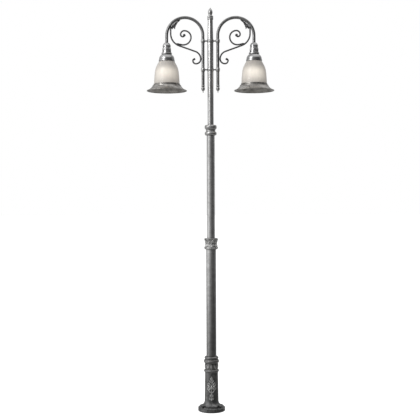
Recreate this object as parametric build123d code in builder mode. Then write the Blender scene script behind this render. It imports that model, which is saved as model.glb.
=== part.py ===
from build123d import *
from math import acos, asin, atan2, cos, degrees, hypot, radians, sin, sqrt
import os

os.makedirs("parts", exist_ok=True)

# Two-arm street lamp post. Millimetres, +Z up, origin at the centre of the foot on the ground.
# The arms reach out along X. Heights are stacked from the ground up, piece on piece.

# clearances
pole_fit = 0.05           # radial gap of a pipe or spigot in its socket
swivel_fit = 0.05         # radial gap of the turning head pipe in the upper collar
gasket_gap = 0.8          # radial gap round the glass's neck in the fitter
lip_gap = 1.7             # radial gap round the glass's foot in the skirt
bulb_gap = 0.35           # radial and end gap of the bulb's cap in its socket
screw_fit = 0.05          # radial gap of a screw in its hole
weld_gap = 0.1            # gap where two bars lie side by side and are welded
seat_gap = 0.3            # end gap where the head stands on the upper collar's shoulder

# foot casting
flange_r = 85.3
flange_h = 30.0
flange_round = 9.0
flange_chamfer = 2.0
foot_r = 67.0
foot_step = 3.0
foot_h = 35.0             # from the top of the flange to the column
column_r_low = 44.1
column_r_top = 41.1
column_h = 174.0
foot_wall = 7.5
socket_depth = 34.0       # how far the lower pipe goes down into the column
shoulder_h = 6.0
shoulder_lip = 4.0        # how far a shoulder reaches in under a pipe's end
anchor_pcd = 134.0
anchor_count = 4
anchor_hole_r = 5.5
pocket_r = 12.0
pocket_floor = 14.0

# pipes of the post and the head: outside radius, wall, and the length left showing
lower_pole_r = 31.75
lower_pole_wall = 2.5
lower_pole_shown = 678.0
mid_pole_r = 25.4
mid_pole_wall = 2.0
mid_pole_shown = 652.0
upper_pole_r = 19.05
upper_pole_wall = 1.8
upper_pole_shown = 544.0

# collars
base_collar_h = 105.0
base_collar_torus_r = tuple(lower_pole_r + t for t in (15.75, 16.5, 12.55))
base_collar_neck_r = lower_pole_r + 7.55
base_collar_bulge_r = lower_pole_r + 9.5
base_collar_groove_r = lower_pole_r + 9.25
mid_collar_h = 71.0
mid_collar_rim_r = lower_pole_r + 10.25
mid_collar_waist_r = lower_pole_r + 3.5
mid_collar_rim_h = 6.0
mid_socket_depth = 28.0
upper_collar_h = 65.0
upper_collar_low_r = mid_pole_r + 12.35
upper_collar_low_h = 22.0
upper_collar_waist_r = mid_pole_r + 4.1
upper_collar_top_r = mid_pole_r + 13.0
upper_collar_top_h = 27.0
upper_socket_depth = 23.0

# set screws
set_screw_r = 3.0
set_screw_recess = 1.0
set_screw_angles = (60, 120)
set_screw_rise = 12.5     # from a collar's end to its row of set screws
ring_screw_r = 2.0
hex_key_r = 1.6
hex_key_depth = 3.0

# tube of the arms
arm_r = 9.525
arm_wall = 1.5

# clamps between the head pipe and the arms
band_r = upper_pole_r + 1.95
band_h = 20.0
band_spacing = 182.5
arm_offset = 47.0         # from the pole's axis to the axis of an arm's upright
ring_r = arm_r + 3.975
ring_end_r = arm_r + 2.075
ring_h = 22.0
stud_r = 4.0

# arms
hoop_r = 115.1
hoop_rise = 34.0          # from the upper band up to the centre of the hoop
arm_tail = 99.5           # from the lower band down to the spear
arm_drop = 56.0           # from the centre of the hoop down to the tube's outer end
plug_h = 14.0
spear_h = 46.0
spear_r = 11.75
spear_collar_r = arm_r + 1.975
spear_spigot = 14.0

# scrollwork
bar_r = 5.0
scroll_centre_out = 8.9   # from the hoop's centre to the centre of the scroll's big arc
scroll_centre_up = 13.0
scroll_r = 81.0
curl_drop = 148.0         # from the hoop's centre down to the centre of the lower curl
curl_radii = (51.0, 30.0, 20.0, 9.0)
curl_eye_r = 7.5
volute_radii = (48.0, 42.0, 24.0, 14.0, 9.0)
volute_lap = 20.0         # degrees over which the volute lies along the scroll bar
volute_eye_r = 9.0
leaf_t = 12.0

# top of the mast
tip_h = 124.0
tip_r_low = 18.25
tip_r_top = 15.75
tip_wall = 3.0
tip_spigot = 25.0
cap_h = 25.0
cap_r = tip_r_top + 3.0
cap_spigot = 12.0
finial_h = 52.0
finial_neck_r = 12.25
acorn_r = 14.25
finial_shank_r = 4.0

# lamp bodies, hanging from the outer end of each arm
housing_h = 64.0
housing_socket_h = 12.0     # how far the arm's end goes into the housing
housing_shoulder_r = 25.75
housing_shoulder_drop = 21.0
housing_neck_r = 24.75
housing_neck_drop = 37.0
housing_foot_r = 28.0
housing_wall = 2.5
fitter_h = 55.0
fitter_ring_r = 33.35
fitter_ring_h = 12.0
fitter_dome_r = 48.25
fitter_rim_r = 50.8
fitter_rim_h = 10.0
fitter_seat_r = 37.0
fitter_plate_t = 8.0
glass_neck_r = 45.5
glass_neck_h = 18.0
glass_h = 145.0
glass_r = 81.0
glass_wall = 3.0
glass_foot_h = 6.0
glass_foot_in = 5.5
gasket_t = 3.0
skirt_drop = 44.0
skirt_r = glass_r + 46.5
skirt_wall = 1.5
skirt_bead_r = 2.5
skirt_ledge_in = 7.0
skirt_lip_h = 5.0
clip_w = 9.0
clip_t = 1.5
clip_count = 3
clip_screw_r = 1.5
glass_screw_count = 3
glass_screw_r = 2.0

# lamp holder and bulb
nipple_r = 5.0
nipple_bore_r = 3.6
nut_r = 8.5
nut_h = 6.0
holder_r = 21.0
holder_h = 53.0
holder_floor = 26.0
shell_wall = 0.6
bulb_cap_r = 13.05
bulb_cap_h = 26.0
bulb_neck_gap = 0.1
bulb_globe_r = 30.0
bulb_h = 108.0
bulb_neck_r = 12.0
bulb_wall = 1.0

# inside the foot
bridge_l = 66.0
bridge_w = 46.0
bridge_t = 2.0
bridge_z = 110.0
lug_w = 16.0
lug_h = 18.0
lug_screw_r = 2.0
block_l = 36.0
block_w = 15.0
block_h = 17.0
block_y = -10.0
grommet_y = 10.0
grommet_hole_r = 7.0
grommet_lip = 2.0

# heights, worked out from the ground up
flange_top = flange_h
foot_top = flange_top + foot_h
column_top = foot_top + column_h
lower_pole_end = column_top - socket_depth
collar_top = column_top + base_collar_h
mid_collar_z = collar_top + lower_pole_shown
mid_collar_top = mid_collar_z + mid_collar_h
lower_pole_top = mid_collar_z + mid_socket_depth
mid_pole_end = lower_pole_top + shoulder_h
upper_collar_z = mid_collar_top + mid_pole_shown
upper_collar_top = upper_collar_z + upper_collar_h
mid_pole_top = upper_collar_z + upper_socket_depth
head_shoulder = mid_pole_top + shoulder_h
upper_pole_end = head_shoulder + seat_gap
upper_pole_top = upper_collar_top + upper_pole_shown
upper_band_z = upper_pole_top - band_h / 2
lower_band_z = upper_band_z - band_spacing
tip_top = upper_pole_top + tip_h
cap_top = tip_top + cap_h

hoop_z = upper_band_z + hoop_rise
hoop_x = arm_offset + hoop_r
lamp_x = arm_offset + 2 * hoop_r
arm_low = lower_band_z - arm_tail
arm_end = hoop_z - arm_drop
housing_top = arm_end + housing_socket_h
housing_foot = housing_top - housing_h
fitter_low = housing_foot - fitter_h
glass_neck_top = fitter_low + glass_neck_h
glass_low = fitter_low - glass_h
ledge_z = glass_low - gasket_t
skirt_low = glass_low - skirt_drop
nut_z = housing_foot - fitter_plate_t - nut_h
holder_top = nut_z
holder_low = holder_top - holder_h
bulb_top = holder_low + holder_floor - bulb_gap
bulb_low = bulb_top - bulb_h


def save(piece, name):
    """Name a finished piece and write it to its STEP file."""
    piece.part.label = name
    export_step(piece.part, f"parts/{name}.step")


def side_plane(side, out=0.0):
    """Upright plane of an arm: local x runs outward from x = out, local y runs up."""
    return Plane((side * out, 0, 0), x_dir=(side, 0, 0), z_dir=(0, -side, 0))


def up_axis(x=0.0):
    """The upright axis through (x, 0)."""
    return Axis((x, 0, 0), (0, 0, 1))


def polar(centre, radius, angle):
    """The point at a radius and an angle in degrees from a centre."""
    return (centre[0] + radius * cos(radians(angle)), centre[1] + radius * sin(radians(angle)))


def bead(r, low, high, r_out):
    """A rounded moulding on a half section: half an ellipse from low to high, out to r_out."""
    EllipticalCenterArc((r, (low + high) / 2), r_out - r, (high - low) / 2, -90, arc_size=180)


def swell(r, low, high, r_out):
    """A shallow bulge on a half section, from low to high, that reaches r_out halfway."""
    Spline((r, low), (r_out, (low + high) / 2), (r, high))


def back_planes(z, tip_r):
    """Planes at the tips of a row of set screws, facing out of the pole's back."""
    return [
        Plane((*polar((0, 0), tip_r, a), z), z_dir=(cos(radians(a)), sin(radians(a)), 0))
        for a in set_screw_angles
    ]


# foot casting: flange, flared foot and column, hollow from below, with the pipe's socket on top
cavity_r = column_r_low - foot_wall
socket_r = lower_pole_r + pole_fit
shoulder_hole_r = lower_pole_r - shoulder_lip
lug_in = bridge_l / 2 - 9.0
lug_root = 2.0
lug_x = bridge_l / 2 - 4.5
with BuildPart() as base_column:
    with BuildSketch(Plane.XZ):
        with BuildLine():
            flange_edge = flange_top - flange_round
            Polyline((cavity_r, 0), (flange_r - flange_chamfer, 0), (flange_r, flange_chamfer),
                     (flange_r, flange_edge))
            RadiusArc((flange_r, flange_edge), (flange_r - flange_round, flange_top), flange_round)
            Polyline((flange_r - flange_round, flange_top), (foot_r, flange_top),
                     (foot_r, flange_top + foot_step))
            flare = (column_r_low + 0.28 * (foot_r - column_r_low), flange_top + 0.42 * foot_h)
            ThreePointArc((foot_r, flange_top + foot_step), flare, (column_r_low, foot_top))
            Polyline((column_r_low, foot_top), (column_r_top, column_top), (socket_r, column_top),
                     (socket_r, lower_pole_end), (shoulder_hole_r, lower_pole_end),
                     (shoulder_hole_r, lower_pole_end - shoulder_h),
                     (cavity_r, lower_pole_end - 2 * shoulder_h), (cavity_r, 0))
        make_face()
    revolve(axis=Axis.Z)
    with PolarLocations(anchor_pcd / 2, anchor_count, start_angle=45):
        with Locations((0, 0, pocket_floor)):
            Cylinder(pocket_r, foot_top, align=(Align.CENTER, Align.CENTER, Align.MIN),
                     mode=Mode.SUBTRACT)
        with Locations((0, 0, pocket_floor / 2)):
            Cylinder(anchor_hole_r, 2 * pocket_floor, mode=Mode.SUBTRACT)
    for side in (-1, 1):
        with BuildSketch(Plane.XY.offset(bridge_z + bridge_t)):
            with Locations((side * (lug_in + cavity_r + lug_root) / 2, 0)):
                Rectangle(cavity_r + lug_root - lug_in, lug_w)
        extrude(amount=lug_h)
        with Locations((side * lug_x, 0, bridge_z + bridge_t + lug_h / 2)):
            Cylinder(lug_screw_r + screw_fit, lug_h, mode=Mode.SUBTRACT)
save(base_column, "base_column")

# collar that slides down the lower pipe and stands on the column: three rounded mouldings
with BuildPart() as base_collar:
    with BuildSketch(Plane.XZ):
        with BuildLine():
            z = column_top
            edge_r = column_r_top + 0.4
            Line((socket_r, z), (edge_r, z))
            Line((edge_r, z), (edge_r, z + 6))
            bead(edge_r, z + 6, z + 22, base_collar_torus_r[0])
            Polyline((edge_r, z + 22), (base_collar_neck_r, z + 24), (base_collar_neck_r, z + 27))
            swell(base_collar_neck_r, z + 27, z + 61, base_collar_bulge_r)
            Line((base_collar_neck_r, z + 61), (base_collar_groove_r, z + 63))
            bead(base_collar_groove_r, z + 63, z + 85, base_collar_torus_r[1])
            Line((base_collar_groove_r, z + 85), (base_collar_groove_r, z + 90))
            bead(base_collar_groove_r, z + 90, z + 102, base_collar_torus_r[2])
            Polyline((base_collar_groove_r, z + 102), (base_collar_neck_r - 2, collar_top),
                     (socket_r, collar_top), (socket_r, z))
        make_face()
    revolve(axis=Axis.Z)
    for plane in back_planes(column_top + set_screw_rise, socket_r - 1):
        with BuildSketch(plane):
            Circle(set_screw_r + screw_fit)
        extrude(amount=base_collar_torus_r[0] - socket_r + 2, mode=Mode.SUBTRACT)
save(base_collar, "base_collar")

# the three pipes
pipes = {
    "lower_pole": (lower_pole_r, lower_pole_wall, lower_pole_end, lower_pole_top),
    "mid_pole": (mid_pole_r, mid_pole_wall, mid_pole_end, mid_pole_top),
    "upper_pole": (upper_pole_r, upper_pole_wall, upper_pole_end, upper_pole_top),
}
for name, (pipe_r, wall, low, high) in pipes.items():
    with BuildPart() as pipe:
        with BuildSketch(Plane.XY.offset(low)):
            Circle(pipe_r)
            Circle(pipe_r - wall, mode=Mode.SUBTRACT)
        extrude(amount=high - low)
    save(pipe, name)

# waisted collar that steps the post down from the lower pipe to the middle one
mid_socket_r = mid_pole_r + pole_fit
mid_hole_r = mid_pole_r - shoulder_lip
with BuildPart() as mid_collar:
    with BuildSketch(Plane.XZ):
        with BuildLine():
            low = mid_collar_z
            top = mid_collar_top
            bevel = mid_collar_rim_h / 4
            Polyline((socket_r, low), (mid_collar_rim_r - bevel, low), (mid_collar_rim_r, low + bevel),
                     (mid_collar_rim_r, low + mid_collar_rim_h))
            ThreePointArc((mid_collar_rim_r, low + mid_collar_rim_h),
                          (mid_collar_waist_r, (low + top) / 2),
                          (mid_collar_rim_r, top - mid_collar_rim_h))
            Polyline((mid_collar_rim_r, top - mid_collar_rim_h), (mid_collar_rim_r, top - bevel),
                     (mid_collar_rim_r - bevel, top), (mid_socket_r, top),
                     (mid_socket_r, mid_pole_end), (mid_hole_r, mid_pole_end),
                     (mid_hole_r, lower_pole_top), (socket_r, lower_pole_top), (socket_r, low))
        make_face()
    revolve(axis=Axis.Z)
    for z, bore_r in ((mid_collar_z + set_screw_rise, socket_r),
                      (mid_collar_top - set_screw_rise, mid_socket_r)):
        for plane in back_planes(z, bore_r - 1):
            with BuildSketch(plane):
                Circle(set_screw_r + screw_fit)
            extrude(amount=mid_collar_rim_r - bore_r + 2, mode=Mode.SUBTRACT)
save(mid_collar, "mid_collar")

# double collar on the middle pipe, whose upper socket lets the head turn
swivel_r = upper_pole_r + swivel_fit
head_hole_r = upper_pole_r - shoulder_lip
low_screw_z = upper_collar_z + upper_collar_low_h / 2
top_screw_z = upper_collar_top - upper_collar_top_h / 2
with BuildPart() as upper_collar:
    with BuildSketch(Plane.XZ):
        with BuildLine():
            low = upper_collar_z
            top = upper_collar_top
            step_r = upper_collar_waist_r + 1.5
            Line((mid_socket_r, low), (step_r, low))
            bead(step_r, low, low + upper_collar_low_h, upper_collar_low_r)
            swell(step_r, low + upper_collar_low_h, top - upper_collar_top_h, upper_collar_waist_r)
            bead(step_r, top - upper_collar_top_h, top, upper_collar_top_r)
            Polyline((step_r, top), (swivel_r, top), (swivel_r, head_shoulder),
                     (head_hole_r, head_shoulder), (head_hole_r, mid_pole_top),
                     (mid_socket_r, mid_pole_top), (mid_socket_r, low))
        make_face()
    revolve(axis=Axis.Z)
    for z, bore_r in ((low_screw_z, mid_socket_r), (top_screw_z, swivel_r)):
        for plane in back_planes(z, bore_r - 1):
            with BuildSketch(plane):
                Circle(set_screw_r + screw_fit)
            extrude(amount=upper_collar_top_r - bore_r + 2, mode=Mode.SUBTRACT)
save(upper_collar, "upper_collar")

# set screws of all the collars: height, radius at the tip, radius at the outer end
screw_rows = (
    (column_top + set_screw_rise, socket_r, base_collar_torus_r[0] - set_screw_recess),
    (mid_collar_z + set_screw_rise, socket_r, mid_collar_waist_r),
    (mid_collar_top - set_screw_rise, mid_socket_r, mid_collar_waist_r),
    (low_screw_z, mid_socket_r, upper_collar_low_r - set_screw_recess),
    (top_screw_z, upper_pole_r + seat_gap, upper_collar_top_r - set_screw_recess),
)
with BuildPart() as collar_screws:
    for z, tip_r, end_r in screw_rows:
        for plane in back_planes(z, tip_r):
            with BuildSketch(plane):
                Circle(set_screw_r)
            extrude(amount=end_r - tip_r)
            with BuildSketch(plane.offset(end_r - tip_r - hex_key_depth)):
                RegularPolygon(hex_key_r, 6)
            extrude(amount=hex_key_depth, mode=Mode.SUBTRACT)
save(collar_screws, "collar_screws")

# wiring bridge inside the foot, with its screws, terminal block and cable grommet
with BuildPart() as wiring_bridge:
    with BuildSketch(Plane.XY.offset(bridge_z)):
        RectangleRounded(bridge_l, bridge_w, 4)
        Circle(cavity_r - 1.0, mode=Mode.INTERSECT)
        with Locations((-lug_x, 0), (lug_x, 0)):
            Circle(lug_screw_r + screw_fit, mode=Mode.SUBTRACT)
        with Locations((0, grommet_y)):
            Circle(grommet_hole_r, mode=Mode.SUBTRACT)
    extrude(amount=bridge_t)
save(wiring_bridge, "wiring_bridge")

with BuildPart() as bridge_screws:
    with Locations((-lug_x, 0, bridge_z), (lug_x, 0, bridge_z)):
        Cylinder(lug_screw_r, lug_h - 2, align=(Align.CENTER, Align.CENTER, Align.MIN))
        Cylinder(2 * lug_screw_r, lug_screw_r * 1.2, align=(Align.CENTER, Align.CENTER, Align.MAX))
save(bridge_screws, "bridge_screws")

with BuildPart() as terminal_block:
    with Locations((0, block_y, bridge_z)):
        Box(block_l, block_w, block_h, align=(Align.CENTER, Align.CENTER, Align.MAX))
    fillet(terminal_block.edges().filter_by(Axis.Z), 1.5)
    for column in (-1, 0, 1):
        with BuildSketch(Plane((column * block_l / 3, block_y - block_w / 2, bridge_z - block_h / 2),
                               z_dir=(0, 1, 0))):
            Circle(2.2)
        extrude(amount=block_w, mode=Mode.SUBTRACT)
        with BuildSketch(Plane.XY.offset(bridge_z - block_h)):
            with Locations((column * block_l / 3, block_y - block_w / 4),
                           (column * block_l / 3, block_y + block_w / 4)):
                Circle(1.8)
        extrude(amount=block_h / 2, mode=Mode.SUBTRACT)
save(terminal_block, "terminal_block")

with BuildPart() as cable_grommet:
    with BuildSketch(side_plane(1)):
        with BuildLine():
            hole_r = grommet_hole_r - screw_fit
            rim_r = grommet_hole_r + grommet_lip
            bore_r = grommet_hole_r - 2.5
            low = bridge_z - 2.0
            high = bridge_z + bridge_t + 2.0
            Polyline((bore_r, low), (rim_r, low), (rim_r, bridge_z), (hole_r, bridge_z),
                     (hole_r, bridge_z + bridge_t), (rim_r, bridge_z + bridge_t), (rim_r, high),
                     (bore_r, high), close=True)
        make_face()
    revolve(axis=Axis.Z)
cable_grommet.part = Pos(0, grommet_y, 0) * cable_grommet.part
save(cable_grommet, "cable_grommet")

# tapered tube that carries on above the clamps, its double-beaded cap and the acorn finial
with BuildPart() as mast_tip:
    with BuildSketch(Plane.XZ):
        with BuildLine():
            spigot_r = upper_pole_r - upper_pole_wall - pole_fit
            Polyline((spigot_r - tip_wall, upper_pole_top - tip_spigot),
                     (spigot_r, upper_pole_top - tip_spigot), (spigot_r, upper_pole_top),
                     (tip_r_low, upper_pole_top), (tip_r_top, tip_top),
                     (tip_r_top - tip_wall, tip_top), (spigot_r - tip_wall, upper_pole_top),
                     close=True)
        make_face()
    revolve(axis=Axis.Z)
save(mast_tip, "mast_tip")

with BuildPart() as top_cap:
    with BuildSketch(Plane.XZ):
        with BuildLine():
            plug_r = tip_r_top - tip_wall - pole_fit
            groove_r = cap_r - 2.2
            shank_hole_r = finial_shank_r + screw_fit
            mid = (tip_top + cap_top) / 2
            Polyline((shank_hole_r, tip_top - cap_spigot), (plug_r - 1, tip_top - cap_spigot),
                     (plug_r - 1, tip_top), (groove_r, tip_top))
            bead(groove_r, tip_top, mid, cap_r)
            bead(groove_r, mid, cap_top, cap_r)
            Polyline((groove_r, cap_top), (shank_hole_r, cap_top),
                     (shank_hole_r, tip_top - cap_spigot))
        make_face()
    revolve(axis=Axis.Z)
save(top_cap, "top_cap")

with BuildPart() as top_finial:
    with BuildSketch(Plane.XZ):
        with BuildLine():
            neck_z = cap_top + 12.0
            acorn_z = cap_top + 30.0
            nub_z = cap_top + finial_h - 5.0
            shank_z = tip_top - cap_spigot / 2
            Polyline((0, shank_z), (finial_shank_r, shank_z), (finial_shank_r, cap_top),
                     (acorn_r, cap_top))
            Spline((acorn_r, cap_top), (finial_neck_r - 0.6, cap_top + 6.0),
                   (finial_neck_r, neck_z))
            Line((finial_neck_r, neck_z), (acorn_r - 0.8, neck_z + 3.0))
            Spline((acorn_r - 0.8, neck_z + 3.0), (acorn_r, acorn_z - 3.0),
                   (acorn_r - 4.6, acorn_z + 10.0), (3.2, nub_z))
            Spline((3.2, nub_z), (2.8, nub_z + 2.8), (0, cap_top + finial_h),
                   tangents=((0.3, 1), (-1, 0)))
            Line((0, cap_top + finial_h), (0, shank_z))
        make_face()
    revolve(axis=Axis.Z)
save(top_finial, "top_finial")

# clamps: a band round the head pipe and a ring round each upright, joined by studs
stud_in = upper_pole_r + seat_gap
stud_out = arm_offset - arm_r - seat_gap
for level, z in (("lower", lower_band_z), ("upper", upper_band_z)):
    with BuildPart() as band:
        with BuildSketch(Plane.XZ):
            with BuildLine():
                bore_r = upper_pole_r + pole_fit
                Polyline((band_r - 1, z + band_h / 2), (bore_r, z + band_h / 2),
                         (bore_r, z - band_h / 2), (band_r - 1, z - band_h / 2))
                swell(band_r - 1, z - band_h / 2, z + band_h / 2, band_r)
            make_face()
        revolve(axis=Axis.Z)
        with BuildSketch(Plane((-band_r - 1, 0, z), z_dir=(1, 0, 0))):
            Circle(stud_r + screw_fit)
        extrude(amount=2 * band_r + 2, mode=Mode.SUBTRACT)
    save(band, f"{level}_band")

    for side, name in ((-1, "left"), (1, "right")):
        with BuildPart() as ring:
            with BuildSketch(side_plane(side, arm_offset)):
                with BuildLine():
                    bore_r = arm_r + pole_fit
                    Polyline((ring_end_r, z + ring_h / 2), (bore_r, z + ring_h / 2),
                             (bore_r, z - ring_h / 2), (ring_end_r, z - ring_h / 2))
                    swell(ring_end_r, z - ring_h / 2, z + ring_h / 2, ring_r)
                make_face()
            revolve(axis=up_axis(side * arm_offset))
            with BuildSketch(Plane((side * arm_offset, 0, z), z_dir=(-side, 0, 0))):
                Circle(stud_r + screw_fit)
            extrude(amount=ring_r + 1, mode=Mode.SUBTRACT)
            with BuildSketch(Plane((side * arm_offset, 0, z), z_dir=(0, 1, 0))):
                Circle(ring_screw_r + screw_fit)
            extrude(amount=ring_r + 1, mode=Mode.SUBTRACT)
        save(ring, f"{name}_{level}_ring")

with BuildPart() as cross_studs:
    for z in (lower_band_z, upper_band_z):
        for side in (-1, 1):
            with BuildSketch(Plane((side * stud_in, 0, z), z_dir=(side, 0, 0))):
                Circle(stud_r)
            extrude(amount=stud_out - stud_in)
save(cross_studs, "cross_studs")

with BuildPart() as ring_screws:
    ring_screw_l = ring_r - 0.5 - arm_r - pole_fit
    for z in (lower_band_z, upper_band_z):
        for side in (-1, 1):
            start = Plane((side * arm_offset, arm_r + pole_fit, z), z_dir=(0, 1, 0))
            with BuildSketch(start):
                Circle(ring_screw_r)
            extrude(amount=ring_screw_l)
            with BuildSketch(start.offset(ring_screw_l - 1.5)):
                RegularPolygon(ring_screw_r / 2, 6)
            extrude(amount=1.5, mode=Mode.SUBTRACT)
save(ring_screws, "ring_screws")

# scrollwork of one arm, worked out in the arm's own plane
hoop_c = (hoop_x, hoop_z)
scroll_c = (hoop_x + scroll_centre_out, hoop_z + scroll_centre_up)
curl_c = (arm_offset + arm_r + weld_gap + bar_r + curl_radii[0], hoop_z - curl_drop)
# the straight between the two arcs touches one from inside and the other from outside
reach = hypot(curl_c[0] - scroll_c[0], curl_c[1] - scroll_c[1])
heading = degrees(atan2(curl_c[1] - scroll_c[1], curl_c[0] - scroll_c[0]))
lean = heading - degrees(asin((scroll_r + curl_radii[0]) / reach))
scroll_leave = lean + 90
scroll_end = polar(scroll_c, scroll_r, scroll_leave)
curl_start = polar(curl_c, curl_radii[0], lean - 90)
scroll_top = sqrt(hoop_r ** 2 - (scroll_c[0] + scroll_r - hoop_x) ** 2) + hoop_z


def arm_path():
    """Centre line of an arm's tube: up, over the hoop and down to the lamp."""
    Line((arm_offset, arm_low), (arm_offset, hoop_z))
    ThreePointArc((arm_offset, hoop_z), (hoop_x, hoop_z + hoop_r), (lamp_x, hoop_z))
    Line((lamp_x, hoop_z), (lamp_x, arm_end))


def scroll_path():
    """Centre line of the scroll bar: down from the hoop, round, across and into the curl."""
    outer = scroll_c[0] + scroll_r
    Line((outer, scroll_top), (outer, scroll_c[1]))
    CenterArc(scroll_c, scroll_r, 0, (scroll_leave + 180) % 360 - 180)
    Line(scroll_end, curl_start)
    first = (lean - 90) % 360
    CenterArc(curl_c, curl_radii[0], first, 180 - first)
    turn = 180
    centre = curl_c
    for before, now in zip(curl_radii, curl_radii[1:]):
        centre = polar(centre, before - now, turn)
        CenterArc(centre, now, turn, 90)
        turn += 90
    return polar(centre, curl_radii[-1], turn)


def volute_path():
    """Centre line of the volute, which lies on the scroll bar's inside and then winds inward."""
    lap_r = scroll_r - 2 * bar_r - weld_gap
    CenterArc(scroll_c, lap_r, volute_lap - 90, -volute_lap)
    turn = 270
    centre = polar(scroll_c, lap_r - volute_radii[0], turn)
    for index, now in enumerate(volute_radii):
        if index:
            centre = polar(centre, volute_radii[index - 1] - now, turn)
        CenterArc(centre, now, turn, -90)
        turn -= 90
    return polar(centre, volute_radii[-1], turn)


for side, name in ((-1, "left"), (1, "right")):
    plane = side_plane(side)
    lamp = side * lamp_x

    # solid core of the arm's tube, which trims the end of the scroll bar to sit on it
    with BuildPart() as arm_core:
        with BuildLine(plane) as core_path:
            arm_path()
        with BuildSketch(Plane(core_path.line @ 0, z_dir=core_path.line % 0)):
            Circle(arm_r)
        sweep()

    with BuildPart() as arm_tube:
        with BuildLine(plane) as tube_path:
            arm_path()
        with BuildSketch(Plane(tube_path.line @ 0, z_dir=tube_path.line % 0)):
            Circle(arm_r)
            Circle(arm_r - arm_wall, mode=Mode.SUBTRACT)
        sweep()
        with BuildSketch(Plane((lamp, 0, arm_end))):
            Circle(arm_r - arm_wall / 2)
            Circle(nipple_r + screw_fit, mode=Mode.SUBTRACT)
        extrude(amount=plug_h)
    save(arm_tube, f"{name}_arm_tube")

    with BuildPart() as spear:
        with BuildSketch(side_plane(side, arm_offset)):
            with BuildLine():
                spigot_r = arm_r - arm_wall - pole_fit
                waist_z = arm_low - 10.0
                Line((0, arm_low - spear_h), (0, arm_low + spear_spigot))
                Polyline((0, arm_low + spear_spigot), (spigot_r, arm_low + spear_spigot),
                         (spigot_r, arm_low), (arm_r, arm_low))
                ThreePointArc((arm_r, arm_low), (spear_collar_r, arm_low - 4.0), (arm_r, arm_low - 8.0))
                Line((arm_r, arm_low - 8.0), (6.5, waist_z))
                Spline((6.5, waist_z), (spear_r, arm_low - 21.0), (7.2, arm_low - 33.0),
                       (2.4, arm_low - 41.0), (0, arm_low - spear_h),
                       tangents=((1, -0.4), (-1, 0)))
            make_face()
        revolve(axis=up_axis(side * arm_offset))
    save(spear, f"{name}_arm_spear")

    with BuildPart() as scroll_bar:
        with BuildLine(plane) as bar_path:
            curl_eye = scroll_path()
        with BuildSketch(Plane(bar_path.line @ 0, z_dir=bar_path.line % 0)):
            Circle(bar_r)
        sweep()
        with Locations((side * curl_eye[0], 0, curl_eye[1])):
            Sphere(curl_eye_r)
        add(arm_core.part, mode=Mode.SUBTRACT)
    save(scroll_bar, f"{name}_scroll_bar")

    with BuildPart() as volute:
        with BuildLine(plane) as spiral_path:
            volute_eye = volute_path()
        with BuildSketch(Plane(spiral_path.line @ 0, z_dir=spiral_path.line % 0)):
            Circle(bar_r)
        sweep()
        with Locations((side * volute_eye[0], 0, volute_eye[1])):
            Sphere(volute_eye_r)
    save(volute, f"{name}_volute")

    # leaf that lies in under the hoop and covers the top of the scroll bar
    hoop_in = hoop_r - arm_r - weld_gap
    with BuildPart() as scroll_leaf:
        with BuildSketch(plane):
            with BuildLine():
                root = polar(hoop_c, hoop_in, 70)
                heel = polar(hoop_c, hoop_in, 24)
                lobe = polar(hoop_c, hoop_in - 20, 40)
                point = polar(hoop_c, hoop_in - 32, 32)
                ThreePointArc(heel, polar(hoop_c, hoop_in, 47), root)
                ThreePointArc(root, polar(hoop_c, hoop_in - 13, 59), lobe)
                Line(lobe, point)
                Line(point, polar(hoop_c, hoop_in - 12, 34))
                Line(polar(hoop_c, hoop_in - 12, 34), heel)
            make_face()
        extrude(amount=leaf_t / 2, both=True)
        add(scroll_bar.part, mode=Mode.SUBTRACT)
    save(scroll_leaf, f"{name}_scroll_leaf")

# lamps: everything that hangs from the outer end of one arm
nipple_hole_r = nipple_r + screw_fit
shoulder_z = arm_end - 4.0
glass_hole_r = glass_neck_r + gasket_gap
fitter_seat_z = glass_neck_top + gasket_t
skirt_in = glass_r + lip_gap
skirt_out = skirt_in + skirt_wall
foot_in = glass_r - glass_foot_in
hook_z = glass_low + glass_foot_h + 0.3
shell_in = bulb_cap_r + bulb_gap
shell_out = shell_in + shell_wall
glass_profile = ((0.0, 0.155), (0.117, 0.41), (0.293, 0.713), (0.562, 0.89), (0.9, 0.99))


def glass_curve(inset):
    """Points down the bell's side, from under the fitter to just above the foot."""
    top = fitter_low - 3.5
    return [
        (glass_neck_r + share * (glass_r - glass_neck_r) - inset, top - drop * (top - glass_low))
        for drop, share in glass_profile
    ]


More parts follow.
